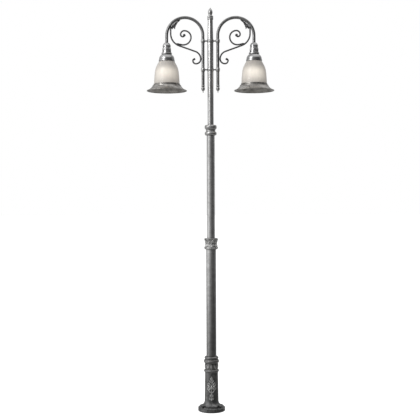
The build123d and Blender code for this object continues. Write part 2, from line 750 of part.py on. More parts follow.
for side, name in ((-1, "left"), (1, "right")):
    lamp = side * lamp_x
    half = side_plane(side, lamp_x)
    axis = up_axis(lamp)

    with BuildPart() as neck_housing:
        with BuildSketch(half):
            with BuildLine():
                shoulder = (housing_shoulder_r, housing_top - housing_shoulder_drop)
                Line((arm_r + pole_fit, housing_top), (arm_r + 2.5, housing_top))
                ThreePointArc((arm_r + 2.5, housing_top), (20.5, housing_top - 8.0), shoulder)
                Polyline(shoulder, (housing_shoulder_r, shoulder[1] - 4.0),
                         (housing_neck_r - 1.5, shoulder[1] - 6.0))
                ThreePointArc((housing_neck_r - 1.5, shoulder[1] - 6.0),
                              (housing_neck_r, housing_top - housing_neck_drop),
                              (housing_foot_r, housing_foot))
                Polyline((housing_foot_r, housing_foot), (housing_foot_r - housing_wall, housing_foot),
                         (housing_neck_r - 2 * housing_wall, housing_top - housing_neck_drop),
                         (housing_neck_r - 2 * housing_wall, shoulder_z - 6.0),
                         (nipple_hole_r + 8.0, shoulder_z), (nipple_hole_r, shoulder_z),
                         (nipple_hole_r, arm_end), (arm_r + pole_fit, arm_end),
                         (arm_r + pole_fit, housing_top))
            make_face()
        revolve(axis=axis)
    save(neck_housing, f"{name}_neck_housing")

    with BuildPart() as fitter:
        with BuildSketch(half):
            with BuildLine():
                ring_edge = fitter_ring_r - 2.0
                rim_top = fitter_low + fitter_rim_h
                plate_z = housing_foot - fitter_plate_t
                Line((nipple_hole_r, housing_foot), (ring_edge, housing_foot))
                bead(ring_edge, housing_foot - fitter_ring_h, housing_foot, fitter_ring_r)
                Line((ring_edge, housing_foot - fitter_ring_h), (ring_edge + 1.5, fitter_low + 42.0))
                ThreePointArc((ring_edge + 1.5, fitter_low + 42.0),
                              (fitter_dome_r - 4.2, fitter_low + 30.5),
                              (fitter_dome_r, rim_top + 3.0))
                Polyline((fitter_dome_r, rim_top + 3.0), (fitter_dome_r, rim_top),
                         (fitter_rim_r, rim_top - 1.0), (fitter_rim_r, fitter_low + 1.0),
                         (fitter_rim_r - 1.0, fitter_low), (glass_hole_r, fitter_low),
                         (glass_hole_r, fitter_seat_z), (fitter_seat_r, fitter_seat_z),
                         (fitter_seat_r - 2.0, fitter_low + 34.0), (ring_edge - 5.0, plate_z - 4.0),
                         (ring_edge - 9.0, plate_z), (nipple_hole_r, plate_z),
                         (nipple_hole_r, housing_foot))
            make_face()
        revolve(axis=axis)
        for turn in range(glass_screw_count):
            angle = 90 + turn * 360 / glass_screw_count
            inner = polar((lamp, 0), glass_hole_r - 1, angle)
            with BuildSketch(Plane((*inner, fitter_low + fitter_rim_h / 2),
                                   z_dir=(cos(radians(angle)), sin(radians(angle)), 0))):
                Circle(glass_screw_r + screw_fit)
            extrude(amount=fitter_rim_r - glass_hole_r + 2, mode=Mode.SUBTRACT)
    save(fitter, f"{name}_fitter")

    with BuildPart() as fitter_gasket:
        with BuildSketch(Plane((lamp, 0, glass_neck_top))):
            Circle(glass_neck_r - 0.5)
            Circle(fitter_seat_r + 1.0, mode=Mode.SUBTRACT)
        extrude(amount=gasket_t)
    save(fitter_gasket, f"{name}_fitter_gasket")

    # bell of the shade: short straight neck, round shoulder, full flank and an inturned foot
    with BuildPart() as glass_shade:
        with BuildSketch(half):
            with BuildLine():
                outer = glass_curve(0)
                inner = glass_curve(glass_wall)
                neck_in = glass_neck_r - glass_wall
                Line((neck_in, glass_neck_top), (glass_neck_r, glass_neck_top))
                Line((glass_neck_r, glass_neck_top), (glass_neck_r, fitter_low - 0.6))
                ThreePointArc((glass_neck_r, fitter_low - 0.6),
                              (glass_neck_r + 3.4, fitter_low - 1.4), outer[0])
                Spline(*outer, (glass_r, glass_low))
                Polyline((glass_r, glass_low), (foot_in, glass_low),
                         (foot_in, glass_low + glass_foot_h),
                         (glass_r - glass_wall, glass_low + glass_foot_h), inner[-1])
                Spline(*reversed(inner), (neck_in, fitter_low - 1.0))
                Line((neck_in, fitter_low - 1.0), (neck_in, glass_neck_top))
            make_face()
        revolve(axis=axis)
    save(glass_shade, f"{name}_glass_shade")

    with BuildPart() as skirt_gasket:
        with BuildSketch(Plane((lamp, 0, ledge_z))):
            Circle(glass_r)
            Circle(foot_in, mode=Mode.SUBTRACT)
        extrude(amount=gasket_t)
    save(skirt_gasket, f"{name}_skirt_gasket")

    # spun skirt: a lip round the glass's foot, a step and a wide flare to a rolled rim
    ledge_in = skirt_in - skirt_ledge_in - lip_gap
    with BuildPart() as skirt:
        with BuildSketch(half):
            with BuildLine():
                step_r = skirt_out + 6.5
                flare_z = ledge_z - 10.0
                under = ledge_z - skirt_wall
                rim_c = (skirt_r - skirt_bead_r, skirt_low + skirt_bead_r)
                rim_on = polar(rim_c, skirt_bead_r, 115)
                rim_off = polar(rim_c, skirt_bead_r, 165)
                Polyline((skirt_in, ledge_z), (skirt_in, ledge_z + skirt_lip_h),
                         (skirt_out, ledge_z + skirt_lip_h), (skirt_out, ledge_z - 3.0),
                         (step_r - 0.6, ledge_z - 4.6), (step_r + 0.8, flare_z))
                ThreePointArc((step_r + 0.8, flare_z), (step_r + 9.2, flare_z - 10.4), rim_on)
                ThreePointArc(rim_on, polar(rim_c, skirt_bead_r, -40), rim_off)
                ThreePointArc(rim_off, (step_r + 8.2, flare_z - 11.8),
                              (step_r - 0.8, flare_z - 0.4))
                Polyline((step_r - 0.8, flare_z - 0.4), (step_r - 1.8, ledge_z - 6.0),
                         (skirt_in, ledge_z - 4.2), (skirt_in, under), (ledge_in, under),
                         (ledge_in, ledge_z), (skirt_in, ledge_z))
            make_face()
        revolve(axis=axis)
        with Locations((lamp, 0, ledge_z)):
            with PolarLocations(foot_in + 1.5, clip_count, start_angle=90):
                Cylinder(clip_screw_r + screw_fit, 4 * skirt_wall, mode=Mode.SUBTRACT)
    save(skirt, f"{name}_skirt")

    with BuildPart() as nipple:
        with BuildSketch(Plane((lamp, 0, holder_top - 12.0))):
            Circle(nipple_r)
            Circle(nipple_bore_r, mode=Mode.SUBTRACT)
        extrude(amount=arm_end + plug_h - 1.0 - (holder_top - 12.0))
    save(nipple, f"{name}_nipple")

    # porcelain lampholder with its screwed brass shell
    with BuildPart() as lampholder:
        with BuildSketch(half):
            with BuildLine():
                floor_z = holder_low + holder_floor
                Polyline((nipple_hole_r, holder_top), (holder_r - 5.0, holder_top))
                ThreePointArc((holder_r - 5.0, holder_top), (holder_r - 1.5, holder_top - 3.5),
                              (holder_r, holder_top - 9.0))
                Polyline((holder_r, holder_top - 9.0), (holder_r, holder_low + 12.0),
                         (holder_r - 1.5, holder_low + 10.0), (holder_r - 1.5, holder_low),
                         (shell_out + screw_fit, holder_low), (shell_out + screw_fit, floor_z),
                         (nipple_bore_r, floor_z), (nipple_bore_r, holder_top - 12.5),
                         (nipple_hole_r, holder_top - 12.5), (nipple_hole_r, holder_top))
            make_face()
        revolve(axis=axis)
    save(lampholder, f"{name}_lampholder")

    with BuildPart() as lampholder_shell:
        with BuildSketch(Plane((lamp, 0, holder_low + 2.0))):
            Circle(shell_out)
            Circle(shell_in, mode=Mode.SUBTRACT)
        extrude(amount=holder_floor - 3.0)
    save(lampholder_shell, f"{name}_lampholder_shell")

    # screw-in bulb: its metal cap, and a hollow envelope whose neck stands in the cap
    skirt_z = bulb_top - bulb_cap_h
    envelope_top = skirt_z + 4.0 - 0.3
    with BuildPart() as bulb_cap:
        with BuildSketch(half):
            with BuildLine():
                recess_r = bulb_neck_r + bulb_neck_gap
                Polyline((0, bulb_top), (4.8, bulb_top), (5.2, bulb_top - 1.6),
                         (9.5, bulb_top - 3.4), (bulb_cap_r - 0.6, bulb_top - 4.6),
                         (bulb_cap_r, bulb_top - 6.0), (bulb_cap_r, skirt_z), (recess_r, skirt_z),
                         (recess_r, skirt_z + 4.0), (0, skirt_z + 4.0), close=True)
            make_face()
        revolve(axis=axis)
    save(bulb_cap, f"{name}_bulb_cap")

    with BuildPart() as bulb_glass:
        with BuildSketch(half):
            with BuildLine():
                globe_c = (0, bulb_low + bulb_globe_r)
                neck_z = skirt_z - 1.0
                for skin in (0, bulb_wall):
                    neck = (bulb_neck_r - skin, neck_z)
                    globe = bulb_globe_r - skin
                    away = hypot(neck[0], neck[1] - globe_c[1])
                    meet = degrees(atan2(neck[1] - globe_c[1], neck[0]) - acos(globe / away))
                    Line((neck[0], envelope_top), neck)
                    Line(neck, polar(globe_c, globe, meet))
                    CenterArc(globe_c, globe, meet, -90 - meet)
                Line((bulb_neck_r - bulb_wall, envelope_top), (bulb_neck_r, envelope_top))
                Line((0, bulb_low), (0, bulb_low + bulb_wall))
            make_face()
        revolve(axis=axis)
    save(bulb_glass, f"{name}_bulb_glass")

# small fixings shared by both lamps
with BuildPart() as nipple_nuts:
    for side in (-1, 1):
        with BuildSketch(Plane((side * lamp_x, 0, nut_z))):
            RegularPolygon(nut_r, 6)
            Circle(nipple_hole_r, mode=Mode.SUBTRACT)
        extrude(amount=nut_h)
save(nipple_nuts, "nipple_nuts")

with BuildPart() as glass_screws:
    for side in (-1, 1):
        for turn in range(glass_screw_count):
            angle = 90 + turn * 360 / glass_screw_count
            tip = polar((side * lamp_x, 0), glass_neck_r + 0.1, angle)
            length = fitter_rim_r - 0.3 - glass_neck_r - 0.1
            start = Plane((*tip, fitter_low + fitter_rim_h / 2),
                          z_dir=(cos(radians(angle)), sin(radians(angle)), 0))
            with BuildSketch(start):
                Circle(glass_screw_r)
            extrude(amount=length)
            with BuildSketch(start.offset(length - 1.5)):
                RegularPolygon(glass_screw_r / 2, 6)
            extrude(amount=1.5, mode=Mode.SUBTRACT)
save(glass_screws, "glass_screws")

# spring clips that hook over the glass's foot and hold the skirt up, with their screws
clip_foot_z = ledge_z - skirt_wall
clip_in = foot_in - 3.2
with BuildPart() as skirt_clips:
    for side in (-1, 1):
        for turn in range(clip_count):
            angle = 90 + turn * 360 / clip_count
            across = (cos(radians(angle)), sin(radians(angle)), 0)
            with BuildSketch(Plane((side * lamp_x, 0, 0), x_dir=across,
                                   z_dir=(across[1], -across[0], 0))):
                with BuildLine():
                    Polyline((clip_in, clip_foot_z - clip_t), (foot_in + 4.5, clip_foot_z - clip_t),
                             (foot_in + 4.5, clip_foot_z), (clip_in + clip_t, clip_foot_z),
                             (clip_in + clip_t, hook_z), (foot_in + 1.8, hook_z),
                             (foot_in + 1.8, hook_z + clip_t), (clip_in, hook_z + clip_t),
                             close=True)
                make_face()
            extrude(amount=clip_w / 2, both=True)
            screw = polar((side * lamp_x, 0), foot_in + 1.5, angle)
            with BuildSketch(Plane((*screw, clip_foot_z - clip_t - 1))):
                Circle(clip_screw_r + screw_fit)
            extrude(amount=clip_t + 2, mode=Mode.SUBTRACT)
save(skirt_clips, "skirt_clips")

with BuildPart() as clip_screws:
    for side in (-1, 1):
        for turn in range(clip_count):
            angle = 90 + turn * 360 / clip_count
            screw = polar((side * lamp_x, 0), foot_in + 1.5, angle)
            with Locations((*screw, clip_foot_z - clip_t)):
                Cylinder(clip_screw_r, clip_t + skirt_wall,
                         align=(Align.CENTER, Align.CENTER, Align.MIN))
                Cylinder(2 * clip_screw_r, 1.4, align=(Align.CENTER, Align.CENTER, Align.MAX))
save(clip_screws, "clip_screws")
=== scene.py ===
import math

import bmesh
import bpy
from mathutils import Matrix, Vector


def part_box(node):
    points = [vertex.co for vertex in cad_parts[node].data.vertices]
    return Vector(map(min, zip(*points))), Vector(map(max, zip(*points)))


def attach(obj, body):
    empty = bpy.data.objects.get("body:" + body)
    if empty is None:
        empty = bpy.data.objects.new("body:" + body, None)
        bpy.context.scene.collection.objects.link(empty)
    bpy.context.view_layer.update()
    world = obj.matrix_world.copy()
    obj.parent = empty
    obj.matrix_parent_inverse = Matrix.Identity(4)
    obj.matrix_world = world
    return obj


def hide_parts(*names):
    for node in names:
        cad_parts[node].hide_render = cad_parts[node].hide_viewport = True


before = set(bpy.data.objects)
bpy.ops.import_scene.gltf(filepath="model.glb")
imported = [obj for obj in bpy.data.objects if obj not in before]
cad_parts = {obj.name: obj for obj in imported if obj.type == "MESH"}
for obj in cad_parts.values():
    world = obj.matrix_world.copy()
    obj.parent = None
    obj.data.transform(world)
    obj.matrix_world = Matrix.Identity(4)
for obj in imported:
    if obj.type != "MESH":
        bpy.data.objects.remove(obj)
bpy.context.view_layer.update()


def middleOf(node):
    low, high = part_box(node)
    return (low + high) / 2


# small modelling helpers

def pickOnly(piece):
    bpy.ops.object.select_all(action="DESELECT")
    piece.select_set(True)
    bpy.context.view_layer.objects.active = piece


def pickVerts(piece, test):
    # in edit mode: selects the corners whose place passes the test
    mesh = bmesh.from_edit_mesh(piece.data)
    mesh.select_mode = {"VERT"}
    for corner in mesh.verts:
        corner.select = test(corner.co)
    mesh.select_flush_mode()
    bmesh.update_edit_mesh(piece.data)


def settle(piece):
    # puts the piece's place, turn and size into its mesh
    pickOnly(piece)
    bpy.ops.object.transform_apply(location=True, rotation=True, scale=True)


def joinAll(pieces, name):
    bpy.ops.object.select_all(action="DESELECT")
    for piece in pieces:
        piece.select_set(True)
    bpy.context.view_layer.objects.active = pieces[0]
    bpy.ops.object.join()
    whole = bpy.context.object
    whole.name = name
    whole.data.name = name
    return whole


def melt(piece, voxel, rounds):
    # runs touching forms together into one cast surface and softens it
    pickOnly(piece)
    remesh = piece.modifiers.new("cast", "REMESH")
    remesh.mode = "VOXEL"
    remesh.voxel_size = voxel
    bpy.ops.object.modifier_apply(modifier="cast")
    soften = piece.modifiers.new("soften", "SMOOTH")
    soften.factor = 0.5
    soften.iterations = rounds
    bpy.ops.object.modifier_apply(modifier="soften")
    bpy.ops.object.shade_smooth()


def wrapRound(piece, radiusAt, turnRadius, centreX=0.0, facing=0.0):
    # lays a flat ornament on a round body: x runs round it, and what stands towards -y stands out
    for corner in piece.data.vertices:
        x, y, z = corner.co
        turn = x / turnRadius + facing
        out = radiusAt(z) - y
        corner.co = (centreX + out * math.sin(turn), -out * math.cos(turn), z)
    piece.data.update()


def copyOf(piece, name):
    twin = piece.copy()
    twin.data = piece.data.copy()
    twin.name = name
    bpy.context.collection.objects.link(twin)
    return twin


# one leaf blade, a unit long from its root up, that every ornament is built from
bladeShape = {
    "segments": 16, "rings": 14, "width": 0.42, "depth": 0.24, "curl": -0.05,
    # above these heights it narrows and thins
    "shoulder": 0.55, "shoulderWidth": 0.78, "shoulderDepth": 0.9,
    "tip": 0.75, "tipWidth": 0.42, "tipDepth": 0.8,
    "vein": 0.07, "veinWidth": 0.09, "veinFrom": 0.1, "veinTo": 0.85,
}


def makeBlade(shape):
    bpy.ops.object.select_all(action="DESELECT")
    bpy.ops.mesh.primitive_uv_sphere_add(
        segments=shape["segments"], ring_count=shape["rings"], radius=0.5, location=(0, 0, 0.5))
    blade = bpy.context.object
    settle(blade)
    bpy.ops.object.mode_set(mode="EDIT")
    bpy.ops.mesh.select_all(action="SELECT")
    bpy.ops.transform.resize(value=(shape["width"], shape["depth"], 1), center_override=(0, 0, 0))
    for part in ("shoulder", "tip"):
        pickVerts(blade, lambda p: p.z > shape[part])
        bpy.ops.transform.resize(
            value=(shape[part + "Width"], shape[part + "Depth"], 1), center_override=(0, 0, 0.5))
    bpy.ops.transform.translate(value=(0, shape["curl"], 0))
    halfVein = shape["width"] * shape["veinWidth"]
    pickVerts(blade, lambda p: (
        abs(p.x) < halfVein and p.y < 0 and shape["veinFrom"] < p.z < shape["veinTo"]))
    bpy.ops.transform.translate(value=(0, shape["vein"], 0))
    bpy.ops.object.mode_set(mode="OBJECT")
    return blade


blade = makeBlade(bladeShape)


def layBlade(root, tip, width, depth):
    # a copy of the blade from root to tip, two points in the x z plane
    along = Vector((tip[0] - root[0], 0, tip[1] - root[1]))
    lean = math.atan2(along.x, along.z)
    leaf = copyOf(blade, "blade")
    leaf.matrix_world = (
        Matrix.Translation((root[0], 0, root[1]))
        @ Matrix.Rotation(lean, 4, "Y")
        @ Matrix.Diagonal((width / bladeShape["width"], depth / bladeShape["depth"], along.length, 1)))
    settle(leaf)
    return leaf


def layLoop(centre, loopR, barR):
    bpy.ops.object.select_all(action="DESELECT")
    bpy.ops.mesh.primitive_torus_add(
        major_radius=loopR, minor_radius=barR, major_segments=28, minor_segments=10,
        location=(centre[0], 0, centre[1]), rotation=(math.pi / 2, 0, 0))
    loop = bpy.context.object
    settle(loop)
    return loop


def layBud(centre, budR):
    bpy.ops.object.select_all(action="DESELECT")
    bpy.ops.mesh.primitive_ico_sphere_add(
        subdivisions=3, radius=budR, location=(centre[0], 0, centre[1]))
    bud = bpy.context.object
    settle(bud)
    return bud


# materials

def addNode(owner, kind, values=None, **settings):
    node = owner.node_tree.nodes.new(kind)
    for key, value in settings.items():
        setattr(node, key, value)
    for key, value in (values or {}).items():
        node.inputs[key].default_value = value
    return node


def wire(owner, source, output, target, place):
    owner.node_tree.links.new(source.outputs[output], target.inputs[place])


def newFinish(name):
    finish = bpy.data.materials.new(name)
    finish.use_nodes = True
    finish.node_tree.nodes.clear()
    shader = addNode(finish, "ShaderNodeBsdfPrincipled")
    output = addNode(finish, "ShaderNodeOutputMaterial")
    wire(finish, shader, "BSDF", output, "Surface")
    return finish, shader


def objectPlace(finish):
    # a point's x, y and z in the piece's own metres
    place = addNode(finish, "ShaderNodeTexCoord")
    split = addNode(finish, "ShaderNodeSeparateXYZ")
    wire(finish, place, "Object", split, "Vector")
    return split


def objectNoise(finish, scale, stretch=(1, 1, 1), detail=4.0, roughness=0.55):
    # noise in the piece's own metres, drawn out along an axis by a stretch under 1
    place = addNode(finish, "ShaderNodeTexCoord")
    mapping = addNode(finish, "ShaderNodeMapping", {"Scale": stretch})
    noise = addNode(finish, "ShaderNodeTexNoise",
                    {"Scale": scale, "Detail": detail, "Roughness": roughness})
    wire(finish, place, "Object", mapping, "Vector")
    wire(finish, mapping, "Vector", noise, "Vector")
    return noise


def remap(finish, source, output, low, high, toLow, toHigh):
    spread = addNode(finish, "ShaderNodeMapRange",
                     {"From Min": low, "From Max": high, "To Min": toLow, "To Max": toHigh})
    wire(finish, source, output, spread, "Value")
    return spread


def maths(finish, kind, first, second):
    # one step on two values, each a node's result or a plain number; what comes out stays in 0 to 1
    node = addNode(finish, "ShaderNodeMath", operation=kind, use_clamp=True)
    for place, value in enumerate((first, second)):
        if isinstance(value, (int, float)):
            node.inputs[place].default_value = value
        else:
            name = next(s.name for s in value.outputs if s.name in ("Result", "Value", "Fac", "AO"))
            wire(finish, value, name, node, place)
    return node


def blendColours(owner, share, output, first, second):
    # a colour between the first and the second, by a node's result
    colour = addNode(owner, "ShaderNodeMix", data_type="RGBA")
    colour.inputs[6].default_value = first
    colour.inputs[7].default_value = second
    wire(owner, share, output, colour, 0)
    return colour


def addBump(finish, shader, source, output, strength, depth):
    bump = addNode(finish, "ShaderNodeBump", {"Strength": strength, "Distance": depth})
    wire(finish, source, output, bump, "Height")
    wire(finish, bump, "Normal", shader, "Normal")


# recess: how far the painted shade in recesses and between parts reaches
silverLook = {
    "pipe": {
        "silver": (0.8, 0.8, 0.795, 1), "black": (0.028, 0.028, 0.029, 1), "low": 0.4, "high": 0.97,
        "lowZ": 0.45, "highZ": 1.05, "streak": (1, 1, 0.05), "streakScale": 130, "mottleScale": 34,
        "mottle": 0.3, "rough": (0.42, 0.26), "recessShade": 0.006, "bump": 0.06,
    },
    "casting": {
        "silver": (0.64, 0.64, 0.635, 1), "black": (0.018, 0.018, 0.019, 1), "low": 0.45, "high": 0.92,
        "lowZ": 0.35, "highZ": 1.1, "streak": (1, 1, 0.3), "streakScale": 160, "mottleScale": 60,
        "mottle": 0.32, "rough": (0.46, 0.3), "recessShade": 0.007, "bump": 0.08,
    },
    "foot": {
        "silver": (0.4, 0.4, 0.4, 1), "black": (0.03, 0.03, 0.031, 1), "low": 0.6, "high": 0.62,
        "lowZ": 0.0, "highZ": 0.25, "streak": (1, 1, 0.14), "streakScale": 110, "mottleScale": 45,
        "mottle": 0.5, "rough": (0.55, 0.36), "recessShade": 0.012, "bump": 0.2,
    },
    "iron bar": {
        "silver": (0.25, 0.25, 0.255, 1), "black": (0.02, 0.02, 0.021, 1), "low": 0.8, "high": 0.8,
        "lowZ": 0.0, "highZ": 1.0, "streak": (0.3, 1, 0.3), "streakScale": 150, "mottleScale": 55,
        "mottle": 0.45, "rough": (0.5, 0.34), "recessShade": 0.008, "bump": 0.12,
    },
    "arm": {
        "silver": (0.4, 0.4, 0.4, 1), "black": (0.02, 0.02, 0.021, 1), "low": 0.85, "high": 0.85,
        "lowZ": 0.0, "highZ": 1.0, "streak": (1, 1, 0.1), "streakScale": 130, "mottleScale": 50,
        "mottle": 0.35, "rough": (0.46, 0.3), "recessShade": 0.008, "bump": 0.08,
    },
    "lamp casting": {
        "silver": (0.62, 0.62, 0.62, 1), "black": (0.016, 0.016, 0.017, 1), "low": 0.9, "high": 0.9,
        "lowZ": 0.0, "highZ": 1.0, "streak": (1, 1, 0.4), "streakScale": 90, "mottleScale": 40,
        "mottle": 0.16, "rough": (0.4, 0.22), "recessShade": 0.008, "bump": 0.02,
    },
    "ornament": {
        "silver": (0.95, 0.95, 0.94, 1), "black": (0.01, 0.01, 0.011, 1), "low": 0.8, "high": 0.95,
        "lowZ": 0.0, "highZ": 1.0, "streak": (1, 1, 1), "streakScale": 120, "mottleScale": 90,
        "mottle": 0.3, "rough": (0.5, 0.3), "recessShade": 0.006, "bump": 0.08,
    },
    "spun skirt": {
        "silver": (0.62, 0.6, 0.57, 1), "black": (0.06, 0.053, 0.048, 1), "low": 0.85, "high": 0.85,
        "lowZ": 0.0, "highZ": 1.0, "streak": (1, 1, 6), "streakScale": 14, "mottleScale": 40,
        "mottle": 0.5, "rough": (0.42, 0.24), "recessShade": 0.005, "bump": 0.05,
    },
}


# what all the rubbed silver finishes share
rubbing = {
    "grainScale": 900, "grainShare": 0.35, "streakSpan": (0.32, 0.66), "mottleSpan": (0.36, 0.6),
    "recessShadePower": 1.6, "bumpDepth": 0.0006, "metal": 0.92,
}


def rubbedSilver(name, look):
    # silver over black: rubbed off in streaks and mottles, darker low down, and darkened in recesses and
    # where parts meet by painted shade from ambient occlusion, partly also standing for the black the
    # finish keeps in its hollows
    finish, shader = newFinish(name)
    streaks = objectNoise(finish, look["streakScale"], look["streak"])
    mottles = objectNoise(finish, look["mottleScale"], detail=6, roughness=0.65)
    grain = objectNoise(finish, rubbing["grainScale"], detail=2)
    # painted shade: ambient occlusion darkens the colour in recesses and at the joins between parts
    recessShade = addNode(finish, "ShaderNodeAmbientOcclusion", {"Distance": look["recessShade"]}, samples=6)
    height = remap(finish, objectPlace(finish), "Z",
                   look["lowZ"], look["highZ"], look["low"], look["high"])
    streaky = remap(finish, streaks, "Fac", *rubbing["streakSpan"], 1 - look["mottle"], 1.0)
    mottled = remap(finish, mottles, "Fac", *rubbing["mottleSpan"], 1 - look["mottle"], 1.0)
    worn = maths(finish, "MULTIPLY", streaky, mottled)
    shown = maths(finish, "MULTIPLY", worn, height)
    unshaded = maths(finish, "POWER", recessShade, rubbing["recessShadePower"])
    silverLessShade = maths(finish, "MULTIPLY", shown, unshaded)
    # black where the rubbing or the painted shade leaves no silver
    colour = blendColours(finish, silverLessShade, "Value", look["black"], look["silver"])
    finish.node_tree.links.new(colour.outputs[2], shader.inputs["Base Color"])
    rough = remap(finish, silverLessShade, "Value", 0.1, 0.9, *look["rough"])
    wire(finish, rough, "Result", shader, "Roughness")
    relief = maths(finish, "ADD", mottles, maths(finish, "MULTIPLY", grain, rubbing["grainShare"]))
    addBump(finish, shader, relief, "Value", look["bump"], rubbing["bumpDepth"])
    shader.inputs["Metallic"].default_value = rubbing["metal"]
    return finish


smallLook = {
    "blackened screws": {"colour": (0.09, 0.09, 0.1), "spread": 0.4, "rough": (0.3, 0.5), "metal": 0.9},
    "zinc plate": {"colour": (0.6, 0.61, 0.62), "spread": 0.2, "rough": (0.25, 0.42), "metal": 1.0},
    "bright brass": {"colour": (0.8, 0.58, 0.26), "spread": 0.2, "rough": (0.18, 0.32), "metal": 1.0},
    "glazed porcelain": {"colour": (0.86, 0.85, 0.81), "spread": 0.06, "rough": (0.08, 0.16), "metal": 0.0},
    "ivory plastic": {"colour": (0.78, 0.75, 0.66), "spread": 0.06, "rough": (0.4, 0.5), "metal": 0.0},
    "black rubber": {"colour": (0.03, 0.03, 0.03), "spread": 0.3, "rough": (0.6, 0.8), "metal": 0.0},
}


# what all the small finishes share
smallGrain = {"cloudScale": 220, "grainScale": 1600, "bump": 0.08, "bumpDepth": 0.0002}


def smallFinish(name, look):
    # plain finishes of the small parts: a little cloudiness in colour and gloss, and a fine grain
    finish, shader = newFinish(name)
    clouds = objectNoise(finish, smallGrain["cloudScale"], detail=5)
    grain = objectNoise(finish, smallGrain["grainScale"], detail=2)
    dark = [part * (1 - look["spread"]) for part in look["colour"]]
    colour = blendColours(finish, clouds, "Fac", (*dark, 1), (*look["colour"], 1))
    finish.node_tree.links.new(colour.outputs[2], shader.inputs["Base Color"])
    rough = remap(finish, clouds, "Fac", 0.3, 0.7, *look["rough"])
    wire(finish, rough, "Result", shader, "Roughness")
    addBump(finish, shader, grain, "Fac", smallGrain["bump"], smallGrain["bumpDepth"])
    shader.inputs["Metallic"].default_value = look["metal"]
    return finish


glassLook = {
    "white": (0.62, 0.59, 0.555, 1), "cloud": (0.5, 0.465, 0.43, 1), "cloudScale": 11, "veinScale": 26,
    "cloudSpan": (0.35, 0.65), "cloudDepth": 0.25, "veinSpan": (0.3, 0.62), "veinDepth": 0.55,
    "glow": (1.0, 0.93, 0.82, 1), "brightest": 0.6, "faintest": 0.05, "rough": 0.3,
    # how far under the middle of the bulb its globe is, and how far up and down the painted glow reaches
    "globeDrop": 0.02, "glowUp": 0.055, "glowDown": 0.1,
    "edge": 0.35, "edgePower": 2.2, "glowClouds": 0.75,
    "clear": 0.12, "ior": 1.45, "bump": 0.12, "bumpDepth": 0.0015,
}


def cloudedGlass(look):
    # thick frosted glass with soft clouds in it, with the bulb's light through it painted on as a glow at
    # its middle
    finish, shader = newFinish("clouded glass")
    clouds = objectNoise(finish, look["cloudScale"], (1, 1, 0.6), detail=3, roughness=0.5)
    veins = objectNoise(finish, look["veinScale"], (1, 1, 0.35), detail=5, roughness=0.6)
    cloudy = maths(finish, "MULTIPLY",
                   remap(finish, clouds, "Fac", *look["cloudSpan"], look["cloudDepth"], 1.0),
                   remap(finish, veins, "Fac", *look["veinSpan"], look["veinDepth"], 1.0))
    colour = blendColours(finish, cloudy, "Value", look["cloud"], look["white"])
    finish.node_tree.links.new(colour.outputs[2], shader.inputs["Base Color"])
    # the painted glow of the bulb's light: brightest level with the bulb's globe and where the glass is
    # looked straight through
    height = objectPlace(finish)
    globeZ = middleOf("left_bulb_glass").z - look["globeDrop"]
    above = addNode(finish, "ShaderNodeMapRange", interpolation_type="SMOOTHSTEP", values={
        "From Min": globeZ, "From Max": globeZ + look["glowUp"], "To Min": 1.0, "To Max": 0.0})
    below = addNode(finish, "ShaderNodeMapRange", interpolation_type="SMOOTHSTEP", values={
        "From Min": globeZ - look["glowDown"], "From Max": globeZ, "To Min": 0.0, "To Max": 1.0})
    wire(finish, height, "Z", above, "Value")
    wire(finish, height, "Z", below, "Value")
    level = maths(finish, "MULTIPLY", above, below)
    through = addNode(finish, "ShaderNodeLayerWeight", {"Blend": look["edge"]})
    straight = addNode(finish, "ShaderNodeMath", operation="SUBTRACT", use_clamp=True)
    straight.inputs[0].default_value = 1.0
    wire(finish, through, "Facing", straight, 1)
    deep = maths(finish, "POWER", straight, look["edgePower"])
    spot = maths(finish, "MULTIPLY", deep, level)
    uneven = remap(finish, clouds, "Fac", 0.3, 0.7, look["glowClouds"], 1.0)
    glow = remap(finish, maths(finish, "MULTIPLY", spot, uneven), "Value",
                 0.0, 1.0, look["faintest"], look["brightest"])
    wire(finish, glow, "Result", shader, "Emission Strength")
    shader.inputs["Emission Color"].default_value = look["glow"]
    shader.inputs["Roughness"].default_value = look["rough"]
    shader.inputs["Transmission Weight"].default_value = look["clear"]
    shader.inputs["IOR"].default_value = look["ior"]
    addBump(finish, shader, veins, "Fac", look["bump"], look["bumpDepth"])
    return finish


bulbLook = {
    "deep": (1.0, 0.86, 0.62, 1), "pale": (1.0, 0.95, 0.82, 1), "hazeScale": 60, "power": 2.2, "rough": 0.3,
}


def pearlBulb(look):
    finish, shader = newFinish("pearl bulb")
    haze = objectNoise(finish, look["hazeScale"], detail=3)
    colour = blendColours(finish, haze, "Fac", look["deep"], look["pale"])
    finish.node_tree.links.new(colour.outputs[2], shader.inputs["Emission Color"])
    finish.node_tree.links.new(colour.outputs[2], shader.inputs["Base Color"])
    shader.inputs["Emission Strength"].default_value = look["power"]
    shader.inputs["Roughness"].default_value = look["rough"]
    return finish


print("finishes")
silver = {name: rubbedSilver("rubbed silver, " + name, look) for name, look in silverLook.items()}
small = {name: smallFinish(name, look) for name, look in smallLook.items()}
slotFinish = {
    "patina_iron": silver["foot"], "patina_steel": silver["pipe"], "patina_casting": silver["casting"],
    "screw_steel": small["blackened screws"], "zinc_steel": small["zinc plate"],
    "brass": small["bright brass"], "porcelain": small["glazed porcelain"],
    "terminal_plastic": small["ivory plastic"], "rubber": small["black rubber"],
    "frosted_glass": cloudedGlass(glassLook), "bulb_glass": pearlBulb(bulbLook),
}
# nodes that share a slot's metal but were finished in another way, by how their names end
nodeLook = {
    "scroll_bar": "iron bar", "volute": "iron bar", "cross_studs": "iron bar", "_arm_tube": "arm",
    "_fitter": "lamp casting", "_neck_housing": "lamp casting", "_skirt": "spun skirt",
}
for name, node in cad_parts.items():
    ownLook = next((look for ending, look in nodeLook.items() if name.endswith(ending)), None)
    for place in node.material_slots:
        place.material = silver[ownLook] if ownLook else slotFinish[place.material.name]


def finishPiece(piece, finish, body):
    piece.data.materials.clear()
    piece.data.materials.append(finish)
    for face in piece.data.polygons:
        face.use_smooth = True
    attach(piece, body)


